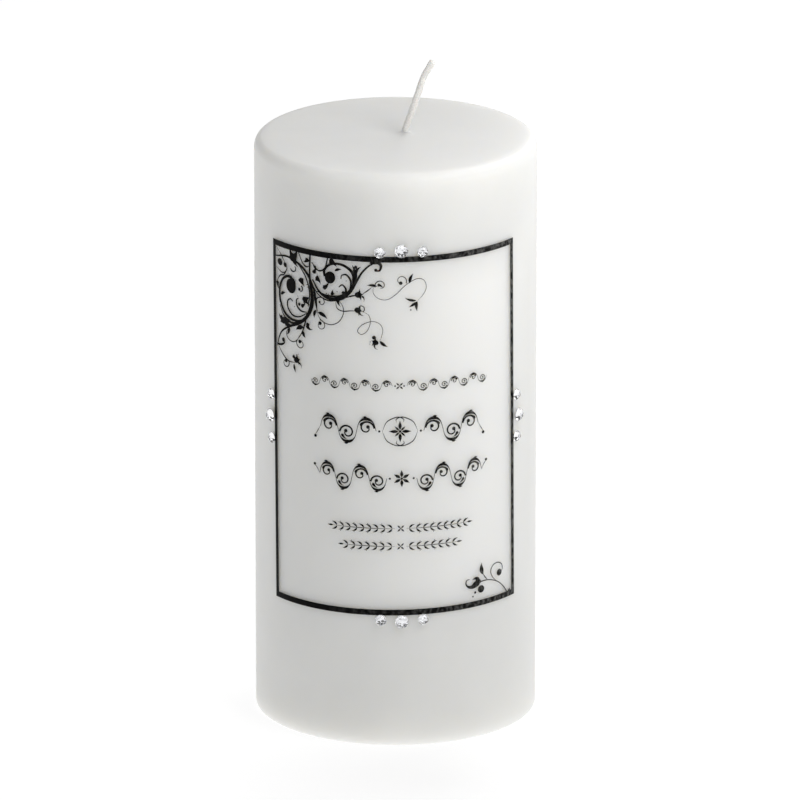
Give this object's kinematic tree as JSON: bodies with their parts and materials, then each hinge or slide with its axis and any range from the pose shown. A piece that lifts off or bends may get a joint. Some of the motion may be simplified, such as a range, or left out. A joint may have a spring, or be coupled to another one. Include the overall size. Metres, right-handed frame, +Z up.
{
  "type": "unity candle",
  "caption": "White wax pillar candle with a wrapped clear label, a black printed border and scrollwork, and small flat-back glass stones glued beside the border; leaning cotton wick.",
  "frame": {"origin": "centre of the flat base, on the pillar's axis", "axes": "+Z up the pillar; -Y out of the front, through the middle of the label; +X to the right of someone reading the label"},
  "size_m": [0.074, 0.0756, 0.1761],
  "materials": {
    "wax": "smooth white paraffin, softly translucent, low sheen",
    "wick": "waxed braided cotton",
    "clip": "tinned, pressed",
    "film": "clear glossy polyester film",
    "ink": "black toner print, semi-gloss, slightly mottled",
    "crystal": "clear faceted crystal",
    "foil": "silver mirror foil",
    "glue": "clear set glue"
  },
  "bodies": {
    "root": {"wax_pillar": "wax", "wick": "wick", "wick_clip": "clip", "label_film": "film", "label_border": "ink", "glue_dot_top_first": "glue", "foil_top_first": "foil", "crystal_top_first": "crystal", "glue_dot_top_middle": "glue", "foil_top_middle": "foil", "crystal_top_middle": "crystal", "glue_dot_top_last": "glue", "foil_top_last": "foil", "crystal_top_last": "crystal", "glue_dot_right_first": "glue", "foil_right_first": "foil", "crystal_right_first": "crystal", "glue_dot_right_middle": "glue", "foil_right_middle": "foil", "crystal_right_middle": "crystal", "glue_dot_right_last": "glue", "foil_right_last": "foil", "crystal_right_last": "crystal", "glue_dot_bottom_first": "glue", "foil_bottom_first": "foil", "crystal_bottom_first": "crystal", "glue_dot_bottom_middle": "glue", "foil_bottom_middle": "foil", "crystal_bottom_middle": "crystal", "glue_dot_bottom_last": "glue", "foil_bottom_last": "foil", "crystal_bottom_last": "crystal", "glue_dot_left_first": "glue", "foil_left_first": "foil", "crystal_left_first": "crystal", "glue_dot_left_middle": "glue", "foil_left_middle": "foil", "crystal_left_middle": "crystal", "glue_dot_left_last": "glue", "foil_left_last": "foil", "crystal_left_last": "crystal"}
  },
  "joints": []
}
